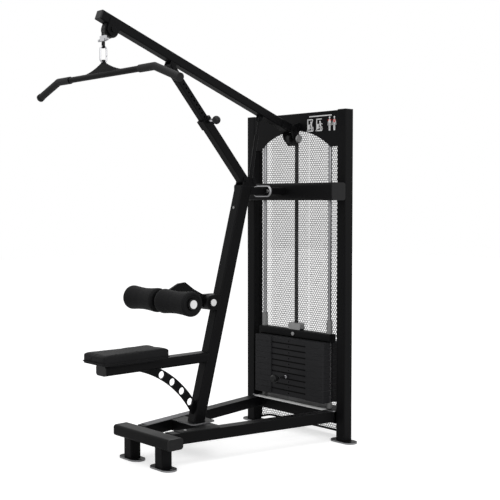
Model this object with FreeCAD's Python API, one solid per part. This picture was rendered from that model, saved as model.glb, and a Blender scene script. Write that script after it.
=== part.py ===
import FreeCAD, Part
import math
import os

# Lat pulldown machine.
# Frame: X across the machine, -Y toward the user, +Z up, floor at Z = 0.
# Shapes are drawn with Y = 0 on the front faces of the tower uprights.
# save() then moves them so that the origin is the middle of the footprint.

os.makedirs("parts", exist_ok=True)

Vec = FreeCAD.Vector
AX = Vec(1, 0, 0)
AY = Vec(0, 1, 0)
AZ = Vec(0, 0, 1)

# ---------------------------------------------------------------- sizes, mm
TUBE = 60.0                 # tower, post and leg tube
WALL = 3.0
CORNER = 6.0
TOWER_H = 1739.0            # top of the uprights
UPRIGHT_X = 348.0           # centre of an upright
FOOT_T = 8.0                # foot plates
FOOT_L = 160.0
FOOT_W = 80.0
BEAM_TOP = 160.0            # top of the base beams
BEAM_H = 55.0
FRONT_Y = -990.0            # middle of the front crossbeam
FRONT_D = 90.0
FRONT_HALF = 218.0
LEG_X = 126.0
SHELF_T = 5.0
STACK_Z = 197.0             # underside of the weight stack
PLATE_T = 32.0
PLATE_PITCH = 32.1
PLATE_COUNT = 10
PLATES_LIFTED = 7
PLATE_HALF = 265.0
PLATE_FRONT = -43.0
PLATE_BACK = 83.0
ROD_X = 250.0
ROD_Y = 22.0
ROD_R = 10.0
CROSS_DROP = 468.0          # middle crossbeam, below the top of the uprights
CROSS_H = 92.0
CROSS_D = 100.0
CROSS_HALF = 375.0
HEADER_H = 187.0
SHROUD_BACK = 122.0
SHROUD_T = 2.0
POST_Y = -687.0             # post centre at its foot
POST_TOP_Y = -368.94         # and at its top
POST_D = 70.0
POST_RISE = 73.0            # post top above the crossbeam underside
SEAT_FRONT = -1300.0        # front edge of the seat pad
PAD_L = 385.0
PAD_W = 188.0
PAD_T = 46.0
SEAT_Z = 508.0              # top of the seat beam
SEAT_BEAM_H = 50.0
SEAT_BEAM_W = 80.0
ARM_OUT = 84.84             # pivot of the roller arm, ahead of the post middle
ARM_Z = 758.0
AXLE_OUT = 290.0            # axle of the thigh rollers, ahead of the pivot
AXLE_Z = 785.0
ROLLER_R = 60.0
ROLLER_HALF = 247.0
ROLLER_GAP = 24.0
HINGE_Y = -34.0             # hinge of the boom
HINGE_RISE = 101.6          # above the header panel lower edge
BOOM_ANGLE = 20.8           # degrees above level
BOOM_L = 1296.0
BOOM_W = 50.0
BOOM_H = 45.0
STRUT_BACK = 5.0            # lower pivot of the strut, ahead of the post middle
STRUT_RISE = 31.3           # and above the post top
STRUT_HEAD = 41.9           # upper strut pivot below the middle of the boom
STRUT_ANGLE = 41.0          # degrees from upright
HOLE_PITCH = 25.0
PULLEY_R = 35.0
PULLEY_W = 30.0
REAR_Y = -14.0              # axle of the rear pulley
REAR_RISE = 50.0            # above the header panel lower edge
BELT_T = 3.0
BELT_W = 26.0
BELT_GAP = 0.3              # air between the belt and a pulley rim
BAR_DROP = 206.6            # lat bar below the front pulley
BAR_R = 14.0
BAR_STRAIGHT = 390.0
BAR_HALF = 561.0
BAR_BEND = 20.0
FIT = 0.05                  # radial clearance of a pin or shaft in its hole
SLIP = 0.5                  # clearance beside a sliding or swinging piece

# ---------------------------------------------------------------- derived
CROSS_Z = TOWER_H - CROSS_DROP
HEADER_Z = TOWER_H - HEADER_H
POST_TOP = CROSS_Z + POST_RISE
POST_Z0 = BEAM_TOP + 6
POST_LEAN = (POST_TOP_Y - POST_Y) / (POST_TOP - POST_Z0)
HINGE_Z = HEADER_Z + HINGE_RISE
REAR_Z = HEADER_Z + REAR_RISE
UP_IN = UPRIGHT_X - TUBE / 2
UP_OUT = UPRIGHT_X + TUBE / 2
BEAM_Z = BEAM_TOP - BEAM_H
SHELF_Z = BEAM_TOP
SHELF_TOP = SHELF_Z + SHELF_T
STACK_TOP = STACK_Z + PLATE_PITCH * PLATE_COUNT
BAR_T = 45.0
CARRIAGE_TOP = STACK_TOP + BAR_T
SHIFT = -(SEAT_FRONT + SHROUD_BACK) / 2
BOOM_RAD = math.radians(BOOM_ANGLE)
BOOM_DIR = Vec(0, -math.cos(BOOM_RAD), math.sin(BOOM_RAD))
BOOM_UP = Vec(0, math.sin(BOOM_RAD), math.cos(BOOM_RAD))
HINGE = Vec(0, HINGE_Y, HINGE_Z)


def post_y(z):
    """Middle of the leaning post at a height."""
    return POST_Y + POST_LEAN * (z - POST_Z0)


STRUT_Y = post_y(POST_TOP) - STRUT_BACK
STRUT_Z = POST_TOP + STRUT_RISE
ARM_Y = post_y(ARM_Z) - ARM_OUT
AXLE_Y = ARM_Y - AXLE_OUT
STRUT_RAD = math.radians(STRUT_ANGLE)
STRUT_DIR = Vec(0, -math.sin(STRUT_RAD), math.cos(STRUT_RAD))
STRUT_FOOT = Vec(0, STRUT_Y, STRUT_Z)
STRUT_L = (-STRUT_HEAD - (STRUT_FOOT - HINGE).dot(BOOM_UP)) / STRUT_DIR.dot(BOOM_UP)


# ---------------------------------------------------------------- helpers
def save(name, *shapes):
    """Move the solids into the object's own frame and write one node."""
    solids = []
    for shape in shapes:
        solids.extend(shape.Solids)
    body = solids[0] if len(solids) == 1 else Part.makeCompound(solids)
    body = body.copy()
    body.translate(Vec(0, SHIFT, 0))
    body.exportStep("parts/" + name + ".step")


def block(x0, x1, y0, y1, z0, z1):
    """A box from its six limits."""
    return Part.makeBox(x1 - x0, y1 - y0, z1 - z0, Vec(x0, y0, z0))


def along(shape, axis, radius):
    """Round the edges of a shape that run along one axis."""
    picked = []
    for edge in shape.Edges:
        if len(edge.Vertexes) == 2:
            step = edge.Vertexes[1].Point - edge.Vertexes[0].Point
            if step.cross(axis).Length < 1e-6:
                picked.append(edge)
    return shape.makeFillet(radius, picked)


def round_block(x0, x1, y0, y1, z0, z1, axis, radius):
    """A box with its edges along one axis rounded."""
    return along(block(x0, x1, y0, y1, z0, z1), axis, radius)


def hollow(x0, x1, y0, y1, z0, z1, axis, radius, wall=WALL):
    """A rounded rectangular tube that runs along one axis."""
    outer = round_block(x0, x1, y0, y1, z0, z1, axis, radius)
    dx = 0 if axis == AX else wall
    dy = 0 if axis == AY else wall
    dz = 0 if axis == AZ else wall
    inner = block(x0 + dx, x1 - dx, y0 + dy, y1 - dy, z0 + dz, z1 - dz)
    return outer.cut(along(inner, axis, max(radius - wall, 1.0)))


def rod(start, axis, radius, length):
    """A cylinder from a start point along an axis."""
    return Part.makeCylinder(radius, length, start, axis)


def bore(point, axis, radius, reach=400.0):
    """A cutter for a hole through a point, both ways along an axis."""
    return Part.makeCylinder(radius, 2 * reach, point - axis * reach, axis)


def side_plate(points, x0, x1):
    """A flat plate from an outline of (y, z) corners, thick along X."""
    corners = [Vec(x0, y, z) for y, z in points]
    corners.append(corners[0])
    return Part.Face(Part.makePolygon(corners)).extrude(Vec(x1 - x0, 0, 0))


def stadium(cx, cy, length, width, z0, z1):
    """A flat plate with round ends, long along X."""
    r = width / 2
    mid = length / 2 - r
    plate = block(cx - mid, cx + mid, cy - r, cy + r, z0, z1)
    for side in (-1, 1):
        plate = plate.fuse(rod(Vec(cx + side * mid, cy, z0), AZ, r, z1 - z0))
    return plate.removeSplitter()


def turned(profile, origin, axis):
    """Turn an (along, radius) outline about an axis through a point."""
    side = AZ if abs(axis.z) < 0.5 else AX
    corners = [origin + axis * a + side * r for a, r in profile]
    corners.append(corners[0])
    return Part.Face(Part.makePolygon(corners)).revolve(origin, axis, 360)


def mirror_x(shape):
    """The same shape on the other side of the machine."""
    return shape.mirror(Vec(0, 0, 0), AX)


def bolt(point, axis, radius, head_r, head_t, length):
    """A round-headed bolt: the head stands out along the axis."""
    head = rod(point, axis, head_r, head_t)
    head = head.makeFillet(head_t * 0.4, [max(head.Edges, key=lambda e: e.CenterOfMass.dot(axis))])
    return head.fuse(rod(point - axis * length, axis, radius, length))


def on_boom(shape):
    """Place a shape drawn level at the origin onto the sloping boom."""
    shape = shape.copy()
    shape.rotate(Vec(0, 0, 0), AX, -BOOM_ANGLE)
    shape.translate(HINGE)
    return shape


def boom_point(s, n, x=0.0):
    """A point at s along the boom and n above its middle line."""
    return HINGE + BOOM_DIR * s + BOOM_UP * n + AX * x


def on_strut(shape):
    """Place a shape drawn upright at the origin onto the sloping strut."""
    shape = shape.copy()
    shape.rotate(Vec(0, 0, 0), AX, STRUT_ANGLE)
    shape.translate(Vec(0, STRUT_Y, STRUT_Z))
    return shape


# ---------------------------------------------------------------- feet and base
# Four foot plates with two floor anchor holes each.
def foot(cx, cy):
    plate = stadium(cx, cy, FOOT_L, FOOT_W, 0, FOOT_T)
    for side in (-1, 1):
        plate = plate.cut(bore(Vec(cx + side * 60, cy, 0), AZ, 6.0, 50))
    return plate


front_feet = [foot(side * LEG_X, FRONT_Y) for side in (-1, 1)]
rear_feet = [foot(side * UPRIGHT_X, TUBE / 2) for side in (-1, 1)]
save("foot_plates", *(front_feet + rear_feet))

# Short front legs and the front crossbeam with rounded edges.
LEG = TUBE / 2
legs = []
for side in (-1, 1):
    x = side * LEG_X
    legs.append(hollow(x - LEG, x + LEG, FRONT_Y - LEG, FRONT_Y + LEG, FOOT_T, BEAM_Z, AZ, CORNER))
FRONT0 = FRONT_Y - FRONT_D / 2
FRONT1 = FRONT_Y + FRONT_D / 2
front_beam = hollow(-FRONT_HALF, FRONT_HALF, FRONT0, FRONT1, BEAM_Z, BEAM_TOP, AX, 14.0)
save("front_stand", front_beam, *legs)

# Two base beams that spread toward the tower.
SPREAD = 0.184
BEAM_FRONT = FRONT1
LOWER_FRONT = -14.0


def beam_outer(y):
    return 150.0 + SPREAD * (y + 900.0)


def base_beam(inset):
    y0 = BEAM_FRONT
    y1 = LOWER_FRONT
    corners = []
    for y, dx in ((y0, inset), (y0, TUBE - inset), (y1, TUBE - inset), (y1, inset)):
        corners.append(Vec(beam_outer(y) - dx, y, BEAM_Z + inset))
    corners.append(corners[0])
    face = Part.Face(Part.makePolygon(corners))
    return face.extrude(Vec(0, 0, BEAM_H - 2 * inset))


beam = base_beam(0).cut(base_beam(WALL))

# The tread strips stuck on the two base beams.
def tread(y0, y1, side):
    corners = []
    for y, dx in ((y0, 4), (y0, TUBE - 4), (y1, TUBE - 4), (y1, 4)):
        corners.append(Vec(side * (beam_outer(y) - dx), y, BEAM_TOP))
    corners.append(corners[0])
    return Part.Face(Part.makePolygon(corners)).extrude(Vec(0, 0, 2.5))


save("tread_strip_left", tread(-923.0, -464.0, -1))
BOLT_Y = -859.0
strip_bolt = bolt(Vec(beam_outer(BOLT_Y) - TUBE / 2, BOLT_Y, BEAM_TOP + 2.5), AZ, 4, 8, 4, 1)
save("tread_strip_right", tread(-900.0, -687.0, 1).cut(strip_bolt))

# Cross member between the base beams, under the post, and the post's base plate.
CROSS_Y0 = -755.0
CROSS_Y1 = -655.0
corners = []
for y, side in ((CROSS_Y0, -1), (CROSS_Y0, 1), (CROSS_Y1, 1), (CROSS_Y1, -1)):
    corners.append(Vec(side * (beam_outer(y) - TUBE), y, BEAM_Z))
corners.append(corners[0])
member = Part.Face(Part.makePolygon(corners)).extrude(Vec(0, 0, BEAM_H))
save("base_beams", beam, mirror_x(beam), member)
base_plate = round_block(-70, 70, POST_Y - 78, POST_Y + 72, BEAM_TOP, BEAM_TOP + 6, AZ, 22.0)

# ---------------------------------------------------------------- tower
uprights = []
for side in (-1, 1):
    x = side * UPRIGHT_X
    uprights.append(hollow(x - LEG, x + LEG, 0, TUBE, FOOT_T, TOWER_H, AZ, CORNER))
save("tower_uprights", *uprights)
lower = hollow(-UP_IN, UP_IN, LOWER_FRONT, TUBE, 98.0, SHELF_Z, AX, 8.0)
save("lower_crossbeam", lower)
shelf = round_block(-UP_IN, UP_IN, -16, 100, SHELF_Z, SHELF_TOP, AZ, 12.0)
for side in (-1, 1):
    shelf = shelf.cut(bore(Vec(side * ROD_X, ROD_Y, SHELF_Z), AZ, ROD_R + FIT, 50))
save("stack_shelf", shelf)

# Header panel with an arched lower edge that lets the belt and pulley pass.
HEAD_Y0 = 2.0
HEAD_Y1 = 40.0
ARCH_HALF = 268.0
ARCH_RISE = 94.0
header = block(-UP_IN, UP_IN, HEAD_Y0, HEAD_Y1, HEADER_Z, TOWER_H)
arch_r = (ARCH_HALF ** 2 + ARCH_RISE ** 2) / (2 * ARCH_RISE)
arch_at = Vec(0, HEAD_Y0, HEADER_Z + ARCH_RISE - arch_r)
header = header.cut(bore(arch_at, AY, arch_r, 100))
header = header.cut(block(-UP_IN + 4, UP_IN - 4, HEAD_Y0 + 4, HEAD_Y1 + 1, HEADER_Z - 1, TOWER_H - 4))
top_rails = []
rail = block(-UP_IN + 4, UP_IN - 4, HEAD_Y0 + 4, HEAD_Y1, TOWER_H - 60, TOWER_H - 54)
for side in (-1, 1):
    rail = rail.cut(bore(Vec(side * ROD_X, ROD_Y, TOWER_H - 60), AZ, ROD_R + FIT, 20))
header = header.fuse(rail)

# Middle crossbeam in front of the uprights.
mid = hollow(-CROSS_HALF, CROSS_HALF, -CROSS_D, 0, CROSS_Z, CROSS_Z + CROSS_H, AX, 16.0)
save("mid_crossbeam", mid)

# Perforated guard behind the stack: a U-shaped sheet between the uprights.
guard_out = round_block(-UP_IN, UP_IN, 42, SHROUD_BACK, 18, TOWER_H - 9, AZ, 25.0)
guard_in = round_block(-UP_IN + SHROUD_T, UP_IN - SHROUD_T, 0, SHROUD_BACK - SHROUD_T, 10, TOWER_H, AZ, 23.0)
guard = guard_out.cut(guard_in)
guard = guard.cut(block(-UP_IN - 1, UP_IN + 1, 0, 70, 10, TOWER_H))
for side in (-1, 1):
    x0, x1 = sorted((side * UP_IN, side * (UP_IN - SHROUD_T)))
    guard = guard.fuse(block(x0, x1, 44, 70, 18, TOWER_H - 9))
guard = guard.cut(block(-UP_IN - 1, UP_IN + 1, 0, 101, 97, SHELF_TOP))
save("rear_guard", guard.removeSplitter())

# Guide rods, bumpers and weight stack.
ROD_TOP = TOWER_H - 54
rods = [rod(Vec(s * ROD_X, ROD_Y, SHELF_Z), AZ, ROD_R, ROD_TOP - SHELF_Z) for s in (-1, 1)]
save("guide_rods", *rods)
bumpers = []
for side in (-1, 1):
    at = Vec(side * ROD_X, ROD_Y, SHELF_TOP)
    ring = rod(at, AZ, 14.5, STACK_Z - SHELF_TOP).cut(bore(at, AZ, ROD_R + FIT, 60))
    bumpers.append(ring)
save("stack_bumpers", *bumpers)

STEM_R = 12.0
PIN_R = 5.0


def weight_plate(index):
    """One plate of the stack, counted from the top."""
    top = STACK_TOP - PLATE_PITCH * index - (PLATE_PITCH - PLATE_T) / 2
    z0 = top - PLATE_T
    plate = block(-PLATE_HALF, PLATE_HALF, PLATE_FRONT, PLATE_BACK, z0, top)
    plate = along(plate, AZ, 8.0)
    plate = plate.cut(block(-135, 135, PLATE_FRONT - 1, PLATE_FRONT + 7, z0 - 1, top + 1))
    rim = [e for e in plate.Edges if e.CenterOfMass.y < PLATE_FRONT + 8 and abs(e.CenterOfMass.z - z0) < 0.1]
    plate = plate.makeChamfer(2.0, rim)
    for side in (-1, 1):
        plate = plate.cut(bore(Vec(side * ROD_X, ROD_Y, z0), AZ, ROD_R + 1.5, 100))
        x0, x1 = sorted((side * ROD_X, side * (PLATE_HALF + 1)))
        plate = plate.cut(block(x0, x1, ROD_Y - ROD_R - 1.5, ROD_Y + ROD_R + 1.5, z0 - 1, top + 1))
    plate = plate.cut(bore(Vec(0, ROD_Y, z0), AZ, STEM_R + SLIP, 100))
    hole = rod(Vec(0, PLATE_FRONT - 5, z0 + PLATE_T / 2), AY, PIN_R + FIT, ROD_Y - PLATE_FRONT)
    return plate.cut(hole)


lifted = [weight_plate(i) for i in range(PLATES_LIFTED)]
resting = [weight_plate(i) for i in range(PLATES_LIFTED, PLATE_COUNT)]
save("plates_lifted", *lifted)
save("plates_resting", *resting)

# ---------------------------------------------------------------- carriage
# Head bar that slides on the rods, with the stem that the pin picks up.
bar = round_block(-272, 272, -3, 47, STACK_TOP, CARRIAGE_TOP, AX, 8.0)
for side in (-1, 1):
    bar = bar.cut(bore(Vec(side * ROD_X, ROD_Y, STACK_TOP), AZ, ROD_R + SLIP, 100))
bar = bar.cut(bore(Vec(0, ROD_Y, STACK_TOP), AZ, STEM_R, 100))
head_bolt = bolt(Vec(0, -3, STACK_TOP + BAR_T / 2), Vec(0, -1, 0), 6, 11, 5, 8)
save("carriage_bar", bar.cut(head_bolt))
STEM_Z0 = STACK_TOP - PLATE_PITCH * PLATE_COUNT + 5
stem = rod(Vec(0, ROD_Y, STEM_Z0), AZ, STEM_R, CARRIAGE_TOP - STEM_Z0)
for i in range(PLATE_COUNT):
    z = STACK_TOP - PLATE_PITCH * (i + 0.5)
    stem = stem.cut(rod(Vec(0, ROD_Y - STEM_R - 1, z), AY, PIN_R + FIT, 2 * STEM_R + 2))
save("selector_stem", stem, head_bolt)
bushes = []
for side in (-1, 1):
    at = Vec(side * ROD_X, ROD_Y, CARRIAGE_TOP)
    bushes.append(rod(at, AZ, 16, 72).cut(bore(at, AZ, ROD_R + FIT, 100)))
save("guide_bushes", *bushes)
DROP_Y = REAR_Y + PULLEY_R + BELT_GAP + BELT_T / 2
ANCHOR_TOP = CARRIAGE_TOP + 37
anchor = round_block(-45, 45, 5, 41, CARRIAGE_TOP, ANCHOR_TOP, AY, 8.0)
anchor = anchor.cut(block(-BELT_W / 2, BELT_W / 2, DROP_Y - BELT_T / 2, DROP_Y + BELT_T / 2, ANCHOR_TOP - 25, ANCHOR_TOP + 1))
save("belt_anchor", anchor)

# Selector pin in the seventh plate, with its ball knob.
PIN_Z = STACK_TOP - PLATE_PITCH * (PLATES_LIFTED - 0.5)
KNOB_Y = -139.0
PIN_END = ROD_Y + STEM_R
pin = rod(Vec(0, KNOB_Y + 15, PIN_Z), AY, PIN_R, PIN_END - 14 - KNOB_Y - 15)
save("selector_pin", pin)
knob_shape = [(-20, 0), (-20, 14), (-13, 21), (2, 22), (12, 16), (24, 9), (24, 0)]
knob = turned(knob_shape, Vec(0, KNOB_Y, PIN_Z), AY)
save("selector_knob", knob.cut(pin))

# ---------------------------------------------------------------- post and link
def post_prism(dx, dy, z0, z1):
    """A leaning prism that follows the post."""
    y0 = post_y(z0)
    corners = [Vec(-dx, y0 - dy, z0), Vec(dx, y0 - dy, z0), Vec(dx, y0 + dy, z0), Vec(-dx, y0 + dy, z0)]
    corners.append(corners[0])
    rise = Vec(0, post_y(z1) - y0, z1 - z0)
    return Part.Face(Part.makePolygon(corners)).extrude(rise)


post = along(post_prism(TUBE / 2, POST_D / 2, POST_Z0, POST_TOP), Vec(0, POST_LEAN, 1), CORNER)
post = post.cut(post_prism(TUBE / 2 - WALL, POST_D / 2 - WALL, POST_Z0, POST_TOP))
back_dir = Vec(0, -1, 0)
BOLT_Z = POST_TOP - 110
post_bolt = bolt(Vec(0, post_y(BOLT_Z) - POST_D / 2 - 1, BOLT_Z), back_dir, 3, 7, 3, 3)
save("main_post", post.cut(post_bolt))

# Bolted link from the post to the middle crossbeam.
LINK_Z0 = CROSS_Z + 28
LINK_Z1 = LINK_Z0 + 40
FLANGE_Y = -233.0
FLANGE_T = 8.0
link_rear = hollow(-30, 30, FLANGE_Y + FLANGE_T, -CROSS_D, LINK_Z0, LINK_Z1, AY, CORNER)
front_y0 = post_y(LINK_Z1) - 5
link_front = hollow(-30, 30, front_y0, FLANGE_Y - FLANGE_T, LINK_Z0, LINK_Z1, AY, CORNER)
link_front = link_front.cut(post_prism(TUBE / 2 + 2, POST_D / 2, POST_Z0, POST_TOP + 60))
flanges = []
flange_bolts = []
for y0 in (FLANGE_Y - FLANGE_T, FLANGE_Y):
    plate = stadium(0, 0, 140, 60, 0, FLANGE_T)
    if not flanges:
        outer = [e for e in plate.Edges if e.CenterOfMass.z > FLANGE_T - 0.1]
        plate = plate.makeChamfer(5.5, outer)
    plate.rotate(Vec(0, 0, 0), AX, 90)
    plate.translate(Vec(0, y0 + FLANGE_T, (LINK_Z0 + LINK_Z1) / 2))
    flanges.append(plate)
mid_z = (LINK_Z0 + LINK_Z1) / 2
for side in (-1, 1):
    at = Vec(side * 50, FLANGE_Y - FLANGE_T, mid_z)
    flanges = [p.cut(bore(at, AY, 5 + FIT, 60)) for p in flanges]
    one = bolt(at, back_dir, 5, 9, 6, 2 * FLANGE_T + 8)
    one = one.fuse(rod(at + AY * (2 * FLANGE_T), AY, 9, 7))
    flange_bolts.append(one)
save("post_link", link_rear, link_front, *flanges)

# Head of the post: a cap plate and two ears for the strut and the gas spring.
EAR_IN = 24.0 + SLIP
EAR_T = 6.0
GAS_Y = STRUT_Y + 52
GAS_Z = POST_TOP + 28
cap0 = post_y(POST_TOP) - POST_D / 2
cap = block(-EAR_IN - EAR_T, EAR_IN + EAR_T, cap0, GAS_Y + 20, POST_TOP, POST_TOP + 6)
ears = cap
for side in (-1, 1):
    x0, x1 = sorted((side * EAR_IN, side * (EAR_IN + EAR_T)))
    outline = [(STRUT_Y - 22, POST_TOP + 6), (GAS_Y + 16, POST_TOP + 6), (GAS_Y + 14, GAS_Z + 12)]
    outline += [(GAS_Y - 8, GAS_Z + 16), (STRUT_Y + 12, STRUT_Z + 18), (STRUT_Y - 14, STRUT_Z + 14)]
    ears = ears.fuse(side_plate(outline, x0, x1))
PIVOT_R = 6.0
for at in (Vec(0, STRUT_Y, STRUT_Z), Vec(0, GAS_Y, GAS_Z)):
    ears = ears.cut(bore(at, AX, PIVOT_R, 100))
post_head = ears.removeSplitter()
pivot_len = 2 * (EAR_IN + EAR_T)
pivots = []
for y, z in ((STRUT_Y, STRUT_Z), (GAS_Y, GAS_Z)):
    shaft = rod(Vec(-pivot_len / 2, y, z), AX, PIVOT_R, pivot_len)
    for side in (-1, 1):
        x0 = side * pivot_len / 2
        shaft = shaft.fuse(rod(Vec(x0, y, z), AX * side, 10, 5))
    pivots.append(shaft)
for side in (-1, 1):
    x0, x1 = sorted((side * 6.5, side * EAR_IN))
    pivots[1] = pivots[1].fuse(rod(Vec(x0, GAS_Y, GAS_Z), AX, 9, x1 - x0))

# ---------------------------------------------------------------- seat
seat_mid = SEAT_FRONT + PAD_L / 2
beam_y1 = post_y(SEAT_Z)
seat_z0 = SEAT_Z - SEAT_BEAM_H
half = SEAT_BEAM_W / 2
seat_beam = hollow(-half, half, SEAT_FRONT + 50, beam_y1, seat_z0, SEAT_Z, AY, 14.0)
seat_beam = seat_beam.cut(post_prism(half + 5, POST_D / 2, POST_Z0, POST_TOP))
keep = block(-half - 1, half + 1, SEAT_FRONT, post_y(seat_z0) - POST_D / 2 + 14, seat_z0 - 1, SEAT_Z + 1)
save("seat_beam", seat_beam.common(keep))
seat_plate = round_block(-80, 80, SEAT_FRONT + 40, SEAT_FRONT + PAD_L - 40, SEAT_Z, SEAT_Z + 7, AZ, 20.0)
save("seat_base_plate", seat_plate)
pad_z0 = SEAT_Z + 7
pad = round_block(-PAD_W / 2, PAD_W / 2, SEAT_FRONT, SEAT_FRONT + PAD_L, pad_z0, pad_z0 + PAD_T, AZ, 30.0)
rim = [e for e in pad.Edges if abs(e.CenterOfMass.z - pad_z0 - PAD_T) < 0.1]
pad = pad.makeFillet(12.0, rim)
save("seat_pad", pad)

# Curved gusset plate under the seat with four round holes.
GUSSET_T = 10.0
arc_y = POST_Y - 497
arc_z = SEAT_Z - 576
ring = rod(Vec(-GUSSET_T / 2, arc_y, arc_z), AX, 588, GUSSET_T)
ring = ring.cut(bore(Vec(0, arc_y, arc_z), AX, 541, 50))
ring = ring.common(side_plate([(arc_y + 74, seat_z0), (arc_y + 74, 200), (POST_Y + 187, 200), (POST_Y + 187, seat_z0)], -20, 20))
ring = ring.cut(post_prism(half, POST_D / 2, POST_Z0 - 100, POST_TOP))
behind = post_y(seat_z0)
ring = ring.common(side_plate([(arc_y - 16, 600), (arc_y - 16, 150), (post_y(150), 150), (post_y(600), 600)], -20, 20))
for degrees in (29.0, 37.0, 45.0, 53.0):
    ang = math.radians(degrees + 8.5)
    at = Vec(0, arc_y + 564 * math.cos(ang - 0.02), arc_z + 564 * math.sin(ang - 0.02))
    ring = ring.cut(bore(at, AX, 18.5, 50))
save("seat_gusset", ring)

# ---------------------------------------------------------------- roller arm
# Boss on the front of the post that carries the arm's pivot.
boss_z = ARM_Z
boss_front = post_y(boss_z) - POST_D / 2
BOSS_IN = 7.0 + SLIP
bosses = []
for side in (-1, 1):
    x0, x1 = sorted((side * BOSS_IN, side * 40))
    lug = rod(Vec(x0, ARM_Y, ARM_Z), AX, 38, x1 - x0)
    lug = lug.fuse(block(x0, x1, ARM_Y, boss_front + 25, ARM_Z - 38, ARM_Z + 38))
    lug = lug.cut(post_prism(60, POST_D / 2, POST_Z0, POST_TOP))
    lug = max(lug.Solids, key=lambda s: -s.CenterOfMass.y)
    bosses.append(lug.cut(bore(Vec(0, ARM_Y, ARM_Z), AX, 10, 100)))
save("post_brackets", base_plate, post_head, *bosses)
arm_pin = rod(Vec(-45, ARM_Y, ARM_Z), AX, 10, 90)
for side in (-1, 1):
    arm_pin = arm_pin.fuse(rod(Vec(side * 40, ARM_Y, ARM_Z), AX * side, 23, 6))

# Boomerang plate from the pivot over the tip to the axle hub.
outline = [(ARM_Y, ARM_Z + 36), (ARM_Y - 29, ARM_Z + 39), (ARM_Y - 93, ARM_Z + 71)]
outline += [(ARM_Y - 146, ARM_Z + 108), (ARM_Y - 188, ARM_Z + 104)]
outline += [(AXLE_Y - 4, AXLE_Z + 26), (AXLE_Y - 22, AXLE_Z), (AXLE_Y, AXLE_Z - 24)]
outline += [(ARM_Y - 188, ARM_Z + 54), (ARM_Y - 108, ARM_Z + 12)]
outline += [(ARM_Y - 29, ARM_Z - 26), (ARM_Y, ARM_Z - 36)]
arm = side_plate(outline, -7, 7)
arm = arm.fuse(rod(Vec(-7, ARM_Y, ARM_Z), AX, 36, 14))
arm = arm.fuse(rod(Vec(-7, AXLE_Y, AXLE_Z), AX, 26, 14))
arm = arm.cut(bore(Vec(0, ARM_Y, ARM_Z), AX, 10 + FIT, 50))
arm = arm.cut(bore(Vec(0, AXLE_Y, AXLE_Z), AX, 11, 50))
for y, z in ((ARM_Y - 161, ARM_Z + 80), (ARM_Y - 173, ARM_Z + 65)):
    arm = arm.cut(bore(Vec(0, y, z), AX, 4, 50))
save("roller_arm", arm.removeSplitter())
axle = rod(Vec(-ROLLER_HALF, AXLE_Y, AXLE_Z), AX, 11, 2 * ROLLER_HALF)
for side in (-1, 1):
    axle = axle.fuse(rod(Vec(side * ROLLER_HALF, AXLE_Y, AXLE_Z), AX * side, 20, 3))
save("roller_axle", axle)

# Two waisted foam rollers, each on its own hub sleeve with a cap at the outer end.
inner_x = ROLLER_GAP / 2
sleeve_l = ROLLER_HALF - 8 - inner_x + 4
R = ROLLER_R
L = ROLLER_HALF - inner_x
shape = [(0, 27), (0, R - 8), (6, R - 2), (16, R), (L * 0.3, R - 5), (L * 0.5, R - 7)]
shape += [(L * 0.7, R - 5), (L - 16, R), (L - 6, R - 2), (L, R - 8), (L, 46), (L - 8, 46), (L - 8, 27)]
foam = turned(shape, Vec(inner_x, AXLE_Y, AXLE_Z), AX)
hub = rod(Vec(inner_x - 4, AXLE_Y, AXLE_Z), AX, 27, L + 2)
hub = hub.cut(bore(Vec(0, AXLE_Y, AXLE_Z), AX, 11 + FIT, 400))
save("roller_foam_right", foam)
save("roller_foam_left", mirror_x(foam))
save("roller_hub_right", hub)
save("roller_hub_left", mirror_x(hub))

# ---------------------------------------------------------------- boom
tube = along(Part.makeBox(BOOM_W, BOOM_L - 12, BOOM_H, Vec(-BOOM_W / 2, -BOOM_L, -BOOM_H / 2)), AY, CORNER)
inside = Part.makeBox(BOOM_W - 2 * WALL, BOOM_L, BOOM_H - 2 * WALL,
                      Vec(-BOOM_W / 2 + WALL, -BOOM_L - 6, -BOOM_H / 2 + WALL))
tube = tube.cut(inside)
FRONT_S = 1222.0
PULLEY_N = -38.0
slot = Part.makeBox(PULLEY_W + 4, 2 * PULLEY_R + 16, 20,
                    Vec(-PULLEY_W / 2 - 2, -FRONT_S - PULLEY_R - 8, -BOOM_H / 2 - 10))
tube = tube.cut(slot)
save("boom_tube", on_boom(tube))
cap_y = -BOOM_L
end = along(Part.makeBox(BOOM_W, 6, BOOM_H, Vec(-BOOM_W / 2, cap_y - 6, -BOOM_H / 2)), AY, CORNER)
dome = [e for e in end.Edges if abs(e.CenterOfMass.y - cap_y + 6) < 0.1]
end = end.makeFillet(4.0, dome)
save("boom_end_cap", on_boom(end))

# Hinge cheeks at the rear end, outside the tube, turning between fixed ears.
CHEEK_T = 6.0
cheeks = []
for side in (-1, 1):
    x0, x1 = sorted((side * BOOM_W / 2, side * (BOOM_W / 2 + CHEEK_T)))
    cheek = Part.makeBox(CHEEK_T, 80, 40, Vec(x0, -80, -20))
    cheek = cheek.fuse(rod(Vec(x0, 0, 0), AX, 20, CHEEK_T))
    cheek = cheek.cut(bore(Vec(0, 0, 0), AX, 7 + FIT, 100))
    cheeks.append(on_boom(cheek.removeSplitter()))

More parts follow.
